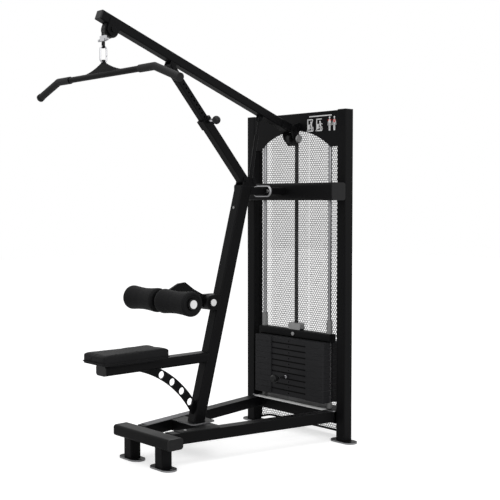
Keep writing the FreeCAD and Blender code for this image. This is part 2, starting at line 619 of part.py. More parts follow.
# Fixed ears on the header that carry the boom hinge and the rear pulley.
EAR_X0 = BOOM_W / 2 + CHEEK_T + SLIP
EAR_X1 = EAR_X0 + 8
ears = []
studs = []
for side in (-1, 1):
    x0, x1 = sorted((side * EAR_X0, side * EAR_X1))
    outline = [(HEAD_Y0, HINGE_Z + 36), (HINGE_Y - 8, HINGE_Z + 22), (HINGE_Y - 22, HINGE_Z)]
    outline += [(HINGE_Y - 8, REAR_Z + 6), (REAR_Y - 16, REAR_Z - 12), (REAR_Y + 6, REAR_Z - 18), (HEAD_Y0, REAR_Z - 10)]
    outline = outline[:6] + [(REAR_Y + 14, REAR_Z - 8), (HEAD_Y0, REAR_Z + 45)]
    ear = side_plate(outline, x0, x1)
    ear = ear.cut(bore(HINGE, AX, 7, 100)).cut(bore(Vec(0, REAR_Y, REAR_Z), AX, 8, 100))
    ears.append(ear)
    stud = rod(HINGE + AX * (side * BOOM_W / 2), AX * side, 7, EAR_X1 - BOOM_W / 2)
    stud = stud.fuse(rod(HINGE + AX * (side * EAR_X1), AX * side, 12, 6))
    studs.append(stud)
save("header_panel", header, *ears)
AXLE_CAP_X = EAR_X1 + 10
rear_axle = rod(Vec(-EAR_X1 - 3, REAR_Y, REAR_Z), AX, 8, EAR_X1 + 3 + AXLE_CAP_X)
axle_cap = rod(Vec(AXLE_CAP_X, REAR_Y, REAR_Z), AX, 22, 6)
axle_cap = axle_cap.makeChamfer(1.5, [e for e in axle_cap.Edges if e.CenterOfMass.x > AXLE_CAP_X + 5])
save("frame_bolts", strip_bolt, post_bolt, axle_cap, *flange_bolts)
save("pivot_bolts", rear_axle, arm_pin, *(studs + pivots))


def pulley(at):
    """A belt pulley with low flanges and a bored hub."""
    w = PULLEY_W / 2
    shape = [(-w, 0), (-w, PULLEY_R + 3), (-w + 1.5, PULLEY_R + 3), (-w + 1.8, PULLEY_R)]
    shape += [(w - 1.8, PULLEY_R), (w - 1.5, PULLEY_R + 3), (w, PULLEY_R + 3), (w, 0)]
    wheel = turned(shape, at, AX)
    groove = rod(at + AX * (w - 4), AX, PULLEY_R - 7, 10).cut(rod(at + AX * (w - 5), AX, 15, 12))
    wheel = wheel.cut(groove).cut(mirror_x(groove))
    return wheel.cut(bore(at, AX, 8 + FIT, 60))


REAR = Vec(0, REAR_Y, REAR_Z)
FRONT = boom_point(FRONT_S, PULLEY_N)
save("rear_pulley", pulley(REAR))
save("front_pulley", pulley(FRONT))

# Round cheek plates under the boom that hold the front pulley.
CHK_X = BOOM_W / 2
pulley_cheeks = []
for side in (-1, 1):
    x0, x1 = sorted((side * CHK_X, side * (CHK_X + 4)))
    disc = rod(Vec(x0, -FRONT_S, PULLEY_N), AX, 30, 4)
    disc = disc.fuse(Part.makeBox(4, 60, 44, Vec(x0, -FRONT_S - 30, PULLEY_N)))
    disc = disc.cut(bore(Vec(0, -FRONT_S, PULLEY_N), AX, 8, 100))
    pulley_cheeks.append(on_boom(disc.removeSplitter()))
front_axle = rod(FRONT - AX * (CHK_X + 4), AX, 8, 2 * CHK_X + 8)
for side in (-1, 1):
    front_axle = front_axle.fuse(rod(FRONT + AX * (side * (CHK_X + 4)), AX * side, 13, 6))

# ---------------------------------------------------------------- strut
OUT = 24.0
INN = 19.0
COLLAR = 400.0
PIN_T = 386.0
SLEEVE_IN = INN + SLIP
sleeve = along(Part.makeBox(2 * OUT, 2 * OUT, COLLAR, Vec(-OUT, -OUT, 0)), AZ, 5.0)
sleeve = sleeve.cut(Part.makeBox(2 * SLEEVE_IN, 2 * SLEEVE_IN, COLLAR, Vec(-SLEEVE_IN, -SLEEVE_IN, 30)))
sleeve = sleeve.fuse(rod(Vec(-OUT, 0, 0), AX, 17, 2 * OUT))
collar = along(Part.makeBox(2 * OUT + 8, 2 * OUT + 8, 50, Vec(-OUT - 4, -OUT - 4, COLLAR - 50)), AZ, 7.0)
collar = collar.cut(Part.makeBox(2 * SLEEVE_IN, 2 * SLEEVE_IN, 60, Vec(-SLEEVE_IN, -SLEEVE_IN, COLLAR - 55)))
sleeve = sleeve.fuse(collar)
sleeve = sleeve.cut(bore(Vec(0, 0, 0), AX, PIVOT_R + FIT, 100))
sleeve = sleeve.cut(rod(Vec(0, 0, PIN_T), AX, PIN_R + FIT, 100))
PIVOT_SLACK = 3.2
inner = along(Part.makeBox(2 * INN, 2 * INN, STRUT_L - 160, Vec(-INN, -INN, 150)), AZ, 4.0)
inner = inner.fuse(rod(Vec(-INN, 0, STRUT_L), AX, 15, 2 * INN))
eye = Part.makeBox(2 * INN, 2 * INN, 40, Vec(-INN, -INN, STRUT_L - 40))
eye = eye.common(rod(Vec(-INN, 0, STRUT_L - 6), AX, 21, 2 * INN))
inner = inner.cut(Part.makeBox(2 * INN - 2 * WALL, 2 * INN - 2 * WALL, STRUT_L - 200, Vec(-INN + WALL, -INN + WALL, 140)))
inner = inner.cut(bore(Vec(0, 0, STRUT_L), AX, PIVOT_R + PIVOT_SLACK, 100))
hole_t = PIN_T
while hole_t < 625:
    inner = inner.cut(rod(Vec(0, 0, hole_t), AX, PIN_R + SLIP, 100))
    hole_t += HOLE_PITCH
save("strut_inner_tube", on_strut(inner.removeSplitter()))
head_x = OUT + 4
shank = rod(Vec(INN + BELT_GAP, 0, PIN_T), AX, PIN_R, head_x + 32 - INN - BELT_GAP)
shank = shank.fuse(rod(Vec(head_x + 20, 0, PIN_T), AX, 9, 24))
save("pop_pin", on_strut(shank))
barrel = rod(Vec(head_x, 0, PIN_T), AX, 11, 18).cut(bore(Vec(0, 0, PIN_T), AX, PIN_R + FIT, 200))
save("strut_sleeve", on_strut(sleeve.fuse(barrel).removeSplitter()))
ball = Part.makeSphere(21, Vec(head_x + 62, 0, PIN_T)).cut(block(0, head_x + 44, -40, 40, PIN_T - 40, PIN_T + 40))
save("pop_pin_knob", on_strut(ball))

# Lugs under the boom for the strut head and the gas spring, with their pins.
STRUT_TOP = on_strut(Part.Vertex(0, 0, STRUT_L)).Vertexes[0].Point
GAS_S = 224.8
GAS_N = -39.0
GAS_TOP = boom_point(GAS_S, GAS_N)
lugs = []
rel = STRUT_TOP - HINGE
TOP_S = rel.dot(BOOM_DIR)
TOP_N = rel.dot(BOOM_UP)
for s, n, gap, thick, r in ((TOP_S, TOP_N, INN + SLIP, 6, 17), (GAS_S, GAS_N, 6.5, 5, 13)):
    for side in (-1, 1):
        x0, x1 = sorted((side * gap, side * (gap + thick)))
        lug = rod(Vec(x0, -s, n), AX, r, thick)
        lug = lug.fuse(Part.makeBox(thick, 2 * r, -BOOM_H / 2 - n, Vec(x0, -s - r, n)))
        lug = lug.cut(bore(Vec(0, -s, n), AX, PIVOT_R, 60))
        lugs.append(on_boom(lug.removeSplitter()))
save("boom_brackets", *(cheeks + pulley_cheeks + lugs))
pins = []
for at, half_len in ((STRUT_TOP, INN + SLIP + 6), (GAS_TOP, 11.5)):
    shaft = rod(at - AX * half_len, AX, PIVOT_R, 2 * half_len)
    for side in (-1, 1):
        shaft = shaft.fuse(rod(at + AX * (side * half_len), AX * side, 10, 4))
    pins.append(shaft)
save("boom_pins", front_axle, *pins)

# ---------------------------------------------------------------- gas spring
gas0 = Vec(0, GAS_Y, GAS_Z)
gas_dir = (GAS_TOP - gas0).normalize()
gas_len = (GAS_TOP - gas0).Length
CYL_L = gas_len * 0.74
cyl = rod(gas0 + gas_dir * 14, gas_dir, 10, CYL_L - 14)
cyl = cyl.cut(rod(gas0 + gas_dir * 20, gas_dir, 5 + FIT, CYL_L))
foot_eye = rod(gas0 - AX * 6, AX, 11, 12)
cyl = cyl.fuse(foot_eye).fuse(rod(gas0, gas_dir, 6, 16))
cyl = cyl.cut(bore(gas0, AX, PIVOT_R + FIT, 50))
save("gas_cylinder", cyl)
GAS_SLACK = 1.6
piston = rod(gas0 + gas_dir * 90, gas_dir, 5, gas_len - 90)
piston = piston.fuse(rod(GAS_TOP - AX * 6, AX, 11, 12))
piston = piston.cut(bore(GAS_TOP, AX, PIVOT_R + GAS_SLACK, 50))
save("gas_piston_rod", piston)

# ---------------------------------------------------------------- belt
# One flat belt: carriage, rear pulley, through the boom, front pulley, clamp.
belt_r = PULLEY_R + BELT_GAP + BELT_T / 2
run_dir = (FRONT - REAR).normalize()
run_up = AX.cross(run_dir) * -1
if run_up.z < 0:
    run_up = run_up * -1


def ribbon(x_half, *edges):
    """Sweep the flat belt along edges that lie in one X plane."""
    wire = Part.Wire(list(edges))
    solids = []
    for edge in wire.Edges:
        if edge.Curve.TypeId == "Part::GeomLine":
            a = edge.Vertexes[0].Point
            b = edge.Vertexes[1].Point
            across = (b - a).normalize().cross(AX) * (BELT_T / 2)
            corners = [a - across, a + across, b + across, b - across, a - across]
            corners = [c - AX * x_half for c in corners]
            solids.append(Part.Face(Part.makePolygon(corners)).extrude(AX * (2 * x_half)))
        else:
            c = edge.Curve.Center
            ring = rod(c - AX * x_half, AX, belt_r + BELT_T / 2, 2 * x_half)
            ring = ring.cut(bore(c, AX, belt_r - BELT_T / 2, 60))
            a = edge.Vertexes[0].Point - c
            b = edge.Vertexes[1].Point - c
            m = edge.valueAt((edge.FirstParameter + edge.LastParameter) / 2) - c
            fan = [c, c + a * 2, c + a * 1.2 + m * 2, c + m * 2.4, c + b * 1.2 + m * 2, c + b * 2, c]
            fan = [p - AX * x_half for p in fan]
            solids.append(ring.common(Part.Face(Part.makePolygon(fan)).extrude(AX * (2 * x_half))))
    body = solids[0]
    for more in solids[1:]:
        body = body.fuse(more)
    return body.removeSplitter()


def arc(centre, start, end):
    """The belt's arc round a pulley between two outward directions."""
    middle = (start + end).normalize()
    a = centre + start * belt_r
    b = centre + end * belt_r
    return Part.Arc(a, centre + middle * belt_r, b).toShape()


JOIN_S = 60.0
JOIN_AIR = 0.6               # where the turning boom's belt meets the fixed wrap
rear_off = REAR + run_up * belt_r
join = rear_off + run_dir * JOIN_S
front_off = FRONT + run_up * belt_r
forward = Vec(0, -1, 0)
belt_half = BELT_W / 2
drop = Part.makeLine(Vec(0, DROP_Y, ANCHOR_TOP - 25), REAR + AY * belt_r)
save("belt_rear_drop", ribbon(belt_half, drop))
wrap = ribbon(belt_half, arc(REAR, AY, run_up), Part.makeLine(rear_off, join))
save("belt_rear_wrap", wrap)
CLAMP_TOP = FRONT.z - 29
run_start = join + run_dir * JOIN_AIR
run = ribbon(belt_half, Part.makeLine(run_start, front_off), arc(FRONT, run_up, forward))
save("belt_boom_run", run)
LINE_Y = (FRONT + forward * belt_r).y
front_drop = Part.makeLine(FRONT + forward * belt_r, Vec(0, LINE_Y, CLAMP_TOP - 14))
save("belt_front_drop", ribbon(belt_half, front_drop))

# ---------------------------------------------------------------- bar train
# Clamp block on the belt end with a cross pin, and the eye below it.
CLAMP_Z = CLAMP_TOP - 28
EYE_Z = CLAMP_Z - 20
EYE_R = 5.5
clamp = round_block(-19, 19, LINE_Y - 7, LINE_Y + 7, CLAMP_Z, CLAMP_TOP, AX, 4.0)
clamp = clamp.cut(block(-belt_half, belt_half, LINE_Y - BELT_T / 2, LINE_Y + BELT_T / 2, CLAMP_TOP - 14, CLAMP_TOP + 1))
cross_at = Vec(-36, LINE_Y, CLAMP_Z + 8)
cross = rod(cross_at, AX, 4, 78).fuse(rod(Vec(-36, LINE_Y, CLAMP_Z + 8), AX, 6.5, 12))
cross = cross.fuse(rod(Vec(24, LINE_Y, CLAMP_Z + 8), AX, 6.5, 12))
tab = round_block(-10, 10, LINE_Y - 3, LINE_Y + 3, EYE_Z - 10, CLAMP_Z, AY, 5.0)
tab = tab.cut(bore(Vec(0, LINE_Y, EYE_Z), AY, EYE_R, 50))
save("belt_clamp", clamp.fuse(cross))
save("belt_end_eye", tab)

# Carabiner: an oval ring of round wire with a gate on one side.
WIRE = 4.0
BAR_Z = FRONT.z - BAR_DROP
HOOK_Z0 = BAR_Z + 54.5
HOOK_HALF = 17.0
SAG = HOOK_HALF - math.sqrt(HOOK_HALF ** 2 - 16.0)
SWAY = 0.45
hook_top = EYE_Z - EYE_R + WIRE + BELT_GAP + SAG + SWAY
hook_z1 = hook_top - HOOK_HALF
low_z = HOOK_Z0 + HOOK_HALF
ring_parts = []
for z, keep0, keep1 in ((hook_z1, hook_z1, hook_z1 + 60), (low_z, low_z - 60, low_z)):
    bow = Part.makeTorus(HOOK_HALF, WIRE, Vec(0, LINE_Y, z), AY)
    ring_parts.append(bow.common(block(-40, 40, LINE_Y - 20, LINE_Y + 20, keep0, keep1)))
ring_parts.append(rod(Vec(-HOOK_HALF, LINE_Y, low_z), AZ, WIRE, hook_z1 - low_z))
GATE_L = 30.0
gate_z = hook_z1 - GATE_L
ring_parts.append(rod(Vec(HOOK_HALF, LINE_Y, low_z), AZ, WIRE, gate_z - low_z))
hook = ring_parts[0]
for more in ring_parts[1:]:
    hook = hook.fuse(more)
# The gate turns about a small cross pin in its round lower end.
pin_z = gate_z + WIRE + 0.3
gate = rod(Vec(HOOK_HALF, LINE_Y, pin_z), AZ, WIRE, hook_z1 - 0.8 - pin_z)
gate = gate.fuse(Part.makeSphere(WIRE, Vec(HOOK_HALF, LINE_Y, pin_z)))
gate = gate.fuse(rod(Vec(HOOK_HALF, LINE_Y - WIRE - 1, pin_z), AY, 1.5, 2 * WIRE + 2))
line_at = Vec(0, LINE_Y, 0)
hook = hook.removeSplitter()
hook.rotate(line_at, AZ, 90)
gate.rotate(line_at, AZ, 90)
save("carabiner", hook)
save("carabiner_gate", gate)

# Triangular hanger plate welded to the lat bar.
HANG_T = 8.0
apex_hole = 6.0
hole_z = HOOK_Z0 + WIRE + SAG + BELT_GAP - apex_hole
hang_top = hole_z + 14
h2 = HANG_T / 2
corner_z = BAR_Z + BAR_R - 3
y_face = LINE_Y - h2
HANG_HALF = 160.0
dip_z = corner_z + 0.34 * (hole_z - corner_z)
sides = []
for side in (-1, 1):
    foot = Vec(side * HANG_HALF, y_face, corner_z)
    dip = Vec(side * (HANG_HALF + 14) / 2, y_face, dip_z)
    neck = Vec(side * 14, y_face, hole_z)
    sides.append(Part.Arc(foot, dip, neck).toShape())
foot_line = Part.makeLine(Vec(-HANG_HALF, y_face, corner_z), Vec(HANG_HALF, y_face, corner_z))
top = [Vec(-14, y_face, hole_z), Vec(-8, y_face, hang_top), Vec(8, y_face, hang_top), Vec(14, y_face, hole_z)]
top_lines = [Part.makeLine(a, b) for a, b in zip(top, top[1:])]
rim = Part.Wire(Part.__sortEdges__([foot_line, sides[0], sides[1], *top_lines]))
hanger = Part.Face(rim).extrude(Vec(0, HANG_T, 0))
hanger = hanger.cut(bore(Vec(0, LINE_Y, hole_z), AY, apex_hole, 50))
bar_line = Vec(0, LINE_Y, BAR_Z)
hanger = hanger.cut(bore(bar_line, AX, BAR_R, 400))
save("bar_hanger", hanger)
bend = math.radians(BAR_BEND)
slope = Vec(math.cos(bend), 0, -math.sin(bend))
tail = (BAR_HALF - BAR_STRAIGHT) / math.cos(bend)
knee = Vec(BAR_STRAIGHT, LINE_Y, BAR_Z)
straight = rod(Vec(-BAR_STRAIGHT, LINE_Y, BAR_Z), AX, BAR_R, 2 * BAR_STRAIGHT)
lat = straight
for side in (-1, 1):
    tip_dir = Vec(slope.x * side, 0, slope.z)
    at = Vec(knee.x * side, knee.y, knee.z)
    lat = lat.fuse(Part.makeSphere(BAR_R, at)).fuse(rod(at, tip_dir, BAR_R, tail))
save("lat_bar", lat.removeSplitter())
GRIP_R = 17.5
GRIP_X0 = 283.0
grips = []
caps = []
for side in (-1, 1):
    tip_dir = Vec(slope.x * side, 0, slope.z)
    at = Vec(knee.x * side, knee.y, knee.z)
    start = Vec(side * GRIP_X0, LINE_Y, BAR_Z)
    grip = rod(start, AX * side, GRIP_R, BAR_STRAIGHT - GRIP_X0)
    grip = grip.fuse(Part.makeSphere(GRIP_R, at)).fuse(rod(at, tip_dir, GRIP_R, tail - 8))
    grips.append(grip.cut(lat))
    caps.append(rod(at + tip_dir * (tail - 8), tip_dir, 19.5, 14).cut(lat))
save("bar_grips", *(grips + caps))

# ---------------------------------------------------------------- plastic caps
plugs = []
for side in (-1, 1):
    x = side * UPRIGHT_X
    plugs.append(round_block(x - LEG, x + LEG, 0, TUBE, TOWER_H, TOWER_H + 4, AZ, CORNER))
    x0, x1 = sorted((side * CROSS_HALF, side * (CROSS_HALF + 4)))
    plugs.append(round_block(x0, x1, -CROSS_D, 0, CROSS_Z, CROSS_Z + CROSS_H, AX, 16.0))
    x0, x1 = sorted((side * FRONT_HALF, side * (FRONT_HALF + 4)))
    plugs.append(round_block(x0, x1, FRONT0, FRONT1, BEAM_Z, BEAM_TOP, AX, 14.0))
y0 = SEAT_FRONT + 46
plugs.append(round_block(-half, half, y0, y0 + 4, seat_z0, SEAT_Z, AY, 14.0))
save("tube_end_caps", *plugs)
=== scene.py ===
import math

import bpy
from mathutils import Matrix, Vector


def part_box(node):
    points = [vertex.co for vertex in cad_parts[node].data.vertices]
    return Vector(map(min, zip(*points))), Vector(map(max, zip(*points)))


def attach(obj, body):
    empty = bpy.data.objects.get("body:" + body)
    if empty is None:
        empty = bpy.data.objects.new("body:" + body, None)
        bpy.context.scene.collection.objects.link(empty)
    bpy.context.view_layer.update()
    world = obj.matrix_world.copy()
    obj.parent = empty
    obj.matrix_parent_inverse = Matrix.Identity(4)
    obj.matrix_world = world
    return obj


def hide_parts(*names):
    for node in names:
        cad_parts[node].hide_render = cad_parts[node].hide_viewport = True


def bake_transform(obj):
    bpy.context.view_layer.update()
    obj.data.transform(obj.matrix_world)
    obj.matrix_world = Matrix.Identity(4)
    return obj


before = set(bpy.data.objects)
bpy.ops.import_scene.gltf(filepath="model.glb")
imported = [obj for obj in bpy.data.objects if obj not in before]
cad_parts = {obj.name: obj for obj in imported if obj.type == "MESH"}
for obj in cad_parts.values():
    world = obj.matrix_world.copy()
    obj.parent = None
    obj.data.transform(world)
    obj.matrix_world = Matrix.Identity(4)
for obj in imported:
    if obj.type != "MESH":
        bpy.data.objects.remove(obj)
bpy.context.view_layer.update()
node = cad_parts
bpy.ops.object.select_all(action="DESELECT")

# ---------------------------------------------------------------- viewpoint
# A standing onlooker's view from the front right corner of the machine, with a
# short telephoto lens, level with the middle of the tower.
camera_data = bpy.data.cameras.new("onlooker")
camera_data.lens = 70.3
camera_data.sensor_width = 36.0
camera = bpy.data.objects.new("onlooker", camera_data)
camera.location = (3.7874, -3.1667, 1.27)
camera.rotation_euler = (math.radians(87.1), 0.0, math.radians(47.8))
bpy.context.scene.collection.objects.link(camera)
bpy.context.scene.camera = camera
bpy.context.scene.view_settings.view_transform = "Standard"

# ---------------------------------------------------------------- studio
# A white studio: an even white surround, a wide soft lamp overhead, a weaker one
# beside the onlooker, and a white floor that keeps the machine's soft shadow.
studio = bpy.data.worlds.new("studio")
studio.use_nodes = True
bpy.context.scene.world = studio
net = studio.node_tree
net.nodes.clear()
out = net.nodes.new("ShaderNodeOutputWorld")
mix = net.nodes.new("ShaderNodeMixShader")
seen = net.nodes.new("ShaderNodeBackground")
lit = net.nodes.new("ShaderNodeBackground")
path = net.nodes.new("ShaderNodeLightPath")
either = net.nodes.new("ShaderNodeMath")
either.operation = "MAXIMUM"
either_two = net.nodes.new("ShaderNodeMath")
either_two.operation = "MAXIMUM"
seen.inputs["Color"].default_value = (1.0, 1.0, 1.0, 1.0)
seen.inputs["Strength"].default_value = 1.0
lit.inputs["Color"].default_value = (1.0, 1.0, 1.0, 1.0)
lit.inputs["Strength"].default_value = 0.62
net.links.new(path.outputs["Is Camera Ray"], either.inputs[0])
net.links.new(path.outputs["Is Glossy Ray"], either.inputs[1])
net.links.new(either.outputs[0], either_two.inputs[0])
net.links.new(path.outputs["Is Transmission Ray"], either_two.inputs[1])
net.links.new(either_two.outputs[0], mix.inputs[0])
net.links.new(lit.outputs[0], mix.inputs[1])
net.links.new(seen.outputs[0], mix.inputs[2])
net.links.new(mix.outputs[0], out.inputs["Surface"])


def soft_lamp(name, place, aim, size, watts):
    """A square soft lamp at a place, turned toward a point."""
    data = bpy.data.lights.new(name, "AREA")
    data.size = size
    data.energy = watts
    lamp = bpy.data.objects.new(name, data)
    lamp.location = place
    toward = Vector(aim) - Vector(place)
    lamp.rotation_euler = toward.to_track_quat("-Z", "Y").to_euler()
    bpy.context.scene.collection.objects.link(lamp)


soft_lamp("overhead_lamp", (0.4, -0.8, 4.6), (0.0, 0.0, 0.9), 3.2, 46.0)
soft_lamp("side_lamp", (4.2, -1.0, 2.6), (0.0, 0.0, 1.0), 2.4, 45.0)

bpy.ops.mesh.primitive_plane_add(size=30.0, location=(0.0, 0.0, -0.0005))
floor = bpy.context.object
floor.name = "studio_floor"
floor_paint = bpy.data.materials.new("studio_floor")
floor_paint.use_nodes = True
net = floor_paint.node_tree
net.nodes.clear()
out = net.nodes.new("ShaderNodeOutputMaterial")
matt = net.nodes.new("ShaderNodeBsdfDiffuse")
matt.inputs["Color"].default_value = (0.9, 0.9, 0.9, 1.0)
glow = net.nodes.new("ShaderNodeEmission")
path = net.nodes.new("ShaderNodeLightPath")
both = net.nodes.new("ShaderNodeAddShader")
level = net.nodes.new("ShaderNodeMath")
level.operation = "MULTIPLY"
level.inputs[1].default_value = 0.55
net.links.new(path.outputs["Is Camera Ray"], level.inputs[0])
net.links.new(level.outputs[0], glow.inputs["Strength"])
net.links.new(matt.outputs[0], both.inputs[0])
net.links.new(glow.outputs[0], both.inputs[1])
net.links.new(both.outputs[0], out.inputs["Surface"])
floor.data.materials.append(floor_paint)
bpy.ops.object.select_all(action="DESELECT")


# ---------------------------------------------------------------- steel frame
# Square and rectangular steel tube, welded and powder coated black. The coat is
# satin with a fine orange-peel grain; a lighter colour along every edge is a painted
# highlight.
def new_finish(name):
    """An empty node material with its shader and object coordinates."""
    finish = bpy.data.materials.new(name)
    finish.use_nodes = True
    shader = finish.node_tree.nodes["Principled BSDF"]
    place = finish.node_tree.nodes.new("ShaderNodeTexCoord")
    return finish, finish.node_tree, shader, place


def noise(net, place, scale, detail=2.0, rough=0.5, stretch=None):
    """Noise on the piece's own coordinates."""
    grain = net.nodes.new("ShaderNodeTexNoise")
    grain.inputs["Scale"].default_value = scale
    grain.inputs["Detail"].default_value = detail
    grain.inputs["Roughness"].default_value = rough
    source = place.outputs["Object"]
    if stretch:
        turn = net.nodes.new("ShaderNodeMapping")
        turn.inputs["Scale"].default_value = stretch
        net.links.new(source, turn.inputs["Vector"])
        source = turn.outputs["Vector"]
    net.links.new(source, grain.inputs["Vector"])
    return grain


def spread(net, source, low, high, to_low, to_high):
    """Map a value from one range to another."""
    scale = net.nodes.new("ShaderNodeMapRange")
    scale.inputs["From Min"].default_value = low
    scale.inputs["From Max"].default_value = high
    scale.inputs["To Min"].default_value = to_low
    scale.inputs["To Max"].default_value = to_high
    net.links.new(source, scale.inputs["Value"])
    return scale.outputs["Result"]


def shade(colour, share):
    """A darker or lighter shade of a colour."""
    return tuple(c * share for c in colour)


def two_colours(net, factor, first, second):
    """Blend two colours by a factor."""
    blend = net.nodes.new("ShaderNodeMix")
    blend.data_type = "RGBA"
    blend.inputs["A"].default_value = (*first, 1.0)
    blend.inputs["B"].default_value = (*second, 1.0)
    net.links.new(factor, blend.inputs["Factor"])
    return blend.outputs["Result"]


def tint(net, shader, factor, first, second):
    """Colour a finish with a blend of two colours."""
    net.links.new(two_colours(net, factor, first, second), shader.inputs["Base Color"])


def dull(net, shader, source, low, high, smooth, rough):
    """Let a value set how rough a finish is."""
    net.links.new(spread(net, source, low, high, smooth, rough), shader.inputs["Roughness"])


def raise_grain(net, shader, source, strength, distance):
    """Bump from a height."""
    bump = net.nodes.new("ShaderNodeBump")
    bump.inputs["Strength"].default_value = strength
    bump.inputs["Distance"].default_value = distance
    net.links.new(source, bump.inputs["Height"])
    net.links.new(bump.outputs["Normal"], shader.inputs["Normal"])


def edge_highlight_mask(net, radius, low=0.80, high=0.985):
    """One along the edges of a piece and zero on its flats."""
    soft = net.nodes.new("ShaderNodeBevel")
    soft.samples = 6
    soft.inputs["Radius"].default_value = radius
    plain = net.nodes.new("ShaderNodeNewGeometry")
    dot = net.nodes.new("ShaderNodeVectorMath")
    dot.operation = "DOT_PRODUCT"
    net.links.new(soft.outputs["Normal"], dot.inputs[0])
    net.links.new(plain.outputs["Normal"], dot.inputs[1])
    return spread(net, dot.outputs["Value"], low, high, 1.0, 0.0)


def coated(name, colour, edge, rough=0.42, grain=700.0, bump=0.10):
    """Powder-coated steel with a painted highlight in a lighter colour along its edges."""
    finish, net, shader, place = new_finish(name)
    cloudy = noise(net, place, 5.0, 3.0)
    base = net.nodes.new("ShaderNodeMix")
    base.data_type = "RGBA"
    tone = two_colours(net, cloudy.outputs["Fac"], shade(colour, 0.82), shade(colour, 1.15))
    net.links.new(tone, base.inputs["A"])
    # The second colour, laid along the edges, is a painted highlight.
    base.inputs["B"].default_value = (*edge, 1.0)
    net.links.new(edge_highlight_mask(net, 0.0016), base.inputs["Factor"])
    net.links.new(base.outputs["Result"], shader.inputs["Base Color"])
    shader.inputs["Specular IOR Level"].default_value = 0.08
    peel = noise(net, place, grain, 2.0, 0.6)
    dull(net, shader, cloudy.outputs["Fac"], 0.3, 0.7, rough - 0.05, rough + 0.06)
    raise_grain(net, shader, peel.outputs["Fac"], bump, 0.0006)
    return finish


def dress(finish, *names):
    """Give CAD nodes a finish."""
    for name in names:
        node[name].data.materials.clear()
        node[name].data.materials.append(finish)


# The frame's second colour is a painted highlight along its edges.
black_coat = coated("black_powder_coat", (0.0034, 0.0034, 0.0038), (0.028, 0.028, 0.030))
dress(black_coat, "front_stand", "base_beams", "tower_uprights", "lower_crossbeam",
      "header_panel", "mid_crossbeam", "main_post", "post_brackets", "post_link", "seat_beam",
      "seat_gusset", "boom_tube", "boom_brackets", "strut_sleeve", "strut_inner_tube",
      "roller_arm", "gas_cylinder", "bar_hanger", "belt_end_eye", "carriage_bar",
      "seat_base_plate", "lat_bar", "gas_piston_rod", "pivot_bolts", "boom_pins")

# ---------------------------------------------------------------- stack
# Ten cast iron weight plates, painted dark grey with a coarse grain. They lie loose
# on each other and slide on the two guide rods.
# The plates' second colour is a painted highlight along their edges.
cast_paint = coated("stack_paint", (0.021, 0.021, 0.0225), (0.06, 0.06, 0.062),
                    0.5, 420.0, 0.25)
dress(cast_paint, "plates_lifted", "plates_resting")


# ---------------------------------------------------------------- bright fittings
# The guide rods are ground steel, the pins, the clamp and the carabiner are chrome
# plated, and the bolts, the stem and the belt's anchor are zinc plated.
def bare_metal(name, colour, rough, brush=None):
    """Bright metal, plated or ground, with fine marks."""
    finish, net, shader, place = new_finish(name)
    shader.inputs["Metallic"].default_value = 1.0
    marks = noise(net, place, 60.0, 3.0, 0.6, brush)
    tint(net, shader, marks.outputs["Fac"], shade(colour, 0.9), colour)
    dull(net, shader, marks.outputs["Fac"], 0.3, 0.7, rough * 0.8, rough * 1.3)
    raise_grain(net, shader, marks.outputs["Fac"], 0.05, 0.0003)
    return finish


rod_steel = bare_metal("ground_rod", (0.30, 0.30, 0.31), 0.24, (30.0, 30.0, 1.0))
chrome = bare_metal("chrome", (0.56, 0.56, 0.58), 0.12)
zinc = bare_metal("zinc_plate", (0.30, 0.30, 0.30), 0.34)
dress(rod_steel, "guide_rods")
dress(chrome, "selector_pin", "pop_pin", "belt_clamp", "carabiner", "carabiner_gate")
dress(zinc, "frame_bolts", "selector_stem", "belt_anchor")


# ---------------------------------------------------------------- moulded parts
# End caps, knobs, pulleys and bushes are moulded plastic, the treads and the bar's
# grips are rubber, and the rollers' sleeves end in a pale cap.
def moulded(name, colour, rough, grain, bump):
    """Moulded plastic or rubber with a fine texture."""
    finish, net, shader, place = new_finish(name)
    cloudy = noise(net, place, 9.0, 2.0)
    tint(net, shader, cloudy.outputs["Fac"], shade(colour, 0.85), shade(colour, 1.12))
    shader.inputs["Specular IOR Level"].default_value = 0.22
    fine = noise(net, place, grain, 2.0, 0.6)
    dull(net, shader, fine.outputs["Fac"], 0.3, 0.7, rough - 0.05, rough + 0.07)
    raise_grain(net, shader, fine.outputs["Fac"], bump, 0.0006)
    return finish


black_plastic = moulded("black_plastic", (0.006, 0.006, 0.0065), 0.38, 500.0, 0.1)
grey_plastic = moulded("grey_plastic", (0.22, 0.22, 0.22), 0.45, 500.0, 0.1)
black_rubber = moulded("black_rubber", (0.008, 0.008, 0.0085), 0.62, 350.0, 0.3)
foam_skin = moulded("foam_skin", (0.0055, 0.0055, 0.006), 0.64, 300.0, 0.3)
foam_skin.node_tree.nodes["Principled BSDF"].inputs["Specular IOR Level"].default_value = 0.1
grip_grey = moulded("tread_grey", (0.27, 0.27, 0.28), 0.8, 900.0, 0.6)
cap_white = moulded("cap_white", (0.80, 0.80, 0.80), 0.4, 500.0, 0.05)
dress(black_plastic, "tube_end_caps", "boom_end_cap", "selector_knob", "pop_pin_knob",
      "rear_pulley", "front_pulley", "roller_hub_left", "roller_hub_right")
dress(grey_plastic, "guide_bushes", "stack_bumpers")
dress(cap_white, "roller_axle")
dress(black_rubber, "bar_grips", "tread_strip_right")
dress(foam_skin, "roller_foam_left", "roller_foam_right", "seat_pad")
dress(grip_grey, "tread_strip_left")

